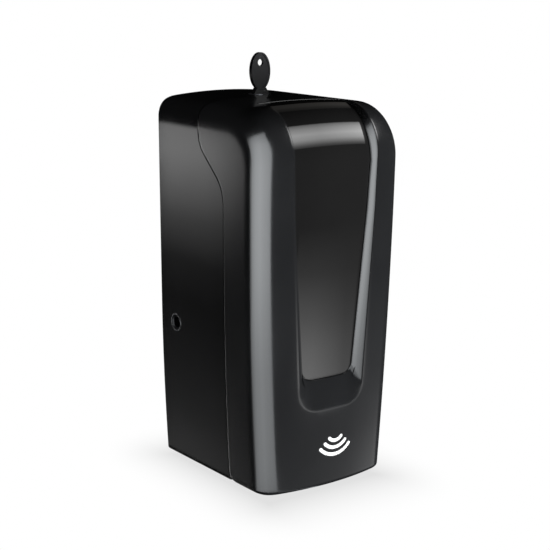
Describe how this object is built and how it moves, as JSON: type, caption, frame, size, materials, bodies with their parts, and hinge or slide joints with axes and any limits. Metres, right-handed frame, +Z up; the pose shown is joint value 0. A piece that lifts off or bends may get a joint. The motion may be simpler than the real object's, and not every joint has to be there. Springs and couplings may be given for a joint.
{
  "type": "automatic soap dispenser",
  "caption": "Wall mounted touch-free soap dispenser with a bottom-hinged locking cover, tapered smoked window, refillable tank, geared tube pump and battery box.",
  "frame": {"origin": "centre of the four wall screw holes, on the rear face that lies against the wall", "axes": "+Z up, +Y into the wall, +X to the right seen from the front; the front faces -Y"},
  "size_m": [0.1198, 0.1314, 0.2933],
  "materials": {
    "shell_black": "gloss moulded",
    "window_smoke": "smoked, polished",
    "print_white": "pad printed",
    "frame_grey": "moulded",
    "steel": "zinc plated",
    "bright_ring": "bright",
    "black_insert": "moulded",
    "lock_metal": "satin",
    "key_black": "satin moulded",
    "tray_black": "fine texture",
    "tank_clear": "translucent",
    "cap_white": "moulded",
    "seal_rubber": "soft",
    "lid_clear": "clear",
    "gear_white": "acetal",
    "roller_white": "acetal",
    "silicone": "translucent",
    "brass": "cut",
    "motor_steel": "plated can",
    "battery_wrap": "printed sleeve",
    "contact_metal": "nickel plated",
    "board_green": "solder mask",
    "ir_clear": "clear lens",
    "ir_dark": "dark lens",
    "led_red": "tinted"
  },
  "bodies": {
    "housing": {"rear_housing": "shell_black", "jack_ring": "bright_ring", "dc_jack": "black_insert", "inner_frame": "frame_grey", "sensor_tray": "tray_black", "frame_screws": "steel", "outlet_socket": "cap_white", "pump_housing": "frame_grey", "pump_lid": "lid_clear", "pump_tube": "silicone", "gearbox_plate": "frame_grey", "motor": "motor_steel", "pump_screws": "steel", "nozzle": "black_insert", "nozzle_valve": "silicone", "battery_box": "black_insert", "batteries": "battery_wrap", "battery_contacts": "contact_metal", "contact_springs": "contact_metal", "control_board": "board_green", "sensor_board": "board_green", "ir_emitter": "ir_clear", "ir_receiver": "ir_dark", "sensor_lens": "window_smoke", "status_led": "led_red", "power_switch_body": "black_insert", "dose_switch_body": "black_insert"},
    "cover": {"front_cover": "shell_black", "window_panel": "window_smoke", "window_retainer": "frame_grey", "sensor_icon": "print_white", "hinge_pins": "steel", "cover_strike": "steel"},
    "lock": {"lock_barrel": "lock_metal", "lock_cam": "steel"},
    "key": {"lock_key": "key_black"},
    "tank": {"soap_tank": "tank_clear"},
    "cap": {"tank_cap": "cap_white", "cap_seal": "seal_rubber"},
    "pump_rotor": {"pump_rotor": "gear_white", "pump_gear": "gear_white"},
    "motor_rotor": {"motor_pinion": "brass", "motor_shaft": "steel"},
    "roller_1": {"pump_roller_1": "roller_white"},
    "roller_2": {"pump_roller_2": "roller_white"},
    "roller_3": {"pump_roller_3": "roller_white"},
    "battery_door": {"battery_door": "tray_black"},
    "power_switch": {"power_switch": "cap_white"},
    "dose_switch": {"dose_switch": "cap_white"}
  },
  "joints": [
    {"name": "cover_hinge", "type": "hinge", "parent": "housing", "child": "cover", "pos_m": [0, -0.0885, -0.13], "axis": [1, 0, 0], "range_deg": [0, 85]},
    {"name": "lock_turn", "type": "hinge", "parent": "housing", "child": "lock", "pos_m": [0, -0.044, 0.112], "axis": [0, 0, 1], "range_deg": [-90, 0]},
    {"name": "key_withdraw", "type": "slide", "parent": "lock", "child": "key", "axis": [0, 0, 1], "range_m": [0, 0.02]},
    {"name": "tank_lift", "type": "slide", "parent": "housing", "child": "tank", "axis": [0, 0, 1], "range_m": [0, 0.005]},
    {"name": "cap_turn", "type": "hinge", "parent": "tank", "child": "cap", "pos_m": [0, -0.072, 0.074], "axis": [0, 0, 1], "range_deg": [0, 60]},
    {"name": "pump_spin", "type": "hinge", "parent": "housing", "child": "pump_rotor", "pos_m": [-0.014, -0.09, -0.098], "axis": [0, -1, 0], "continuous": true},
    {"name": "motor_spin", "type": "hinge", "parent": "housing", "child": "motor_rotor", "pos_m": [0.00784, -0.077, -0.10819], "axis": [0, -1, 0], "continuous": true},
    {"name": "roller_1_spin", "type": "hinge", "parent": "pump_rotor", "child": "roller_1", "pos_m": [-0.014, -0.095, -0.0869], "axis": [0, -1, 0], "continuous": true},
    {"name": "roller_2_spin", "type": "hinge", "parent": "pump_rotor", "child": "roller_2", "pos_m": [-0.02361, -0.095, -0.10355], "axis": [0, -1, 0], "continuous": true},
    {"name": "roller_3_spin", "type": "hinge", "parent": "pump_rotor", "child": "roller_3", "pos_m": [-0.00439, -0.095, -0.10355], "axis": [0, -1, 0], "continuous": true},
    {"name": "battery_door_slide", "type": "slide", "parent": "housing", "child": "battery_door", "axis": [0, 0, 1], "range_m": [0, 0.006]},
    {"name": "power_slide", "type": "slide", "parent": "housing", "child": "power_switch", "axis": [1, 0, 0], "range_m": [0, 0.005]},
    {"name": "dose_slide", "type": "slide", "parent": "housing", "child": "dose_switch", "axis": [1, 0, 0], "range_m": [0, 0.005]}
  ],
  "couplings": [
    {"joint": "motor_spin", "follows": "pump_spin", "ratio": -3},
    {"joint": "roller_1_spin", "follows": "pump_spin", "ratio": -3.775},
    {"joint": "roller_2_spin", "follows": "pump_spin", "ratio": -3.775},
    {"joint": "roller_3_spin", "follows": "pump_spin", "ratio": -3.775}
  ]
}
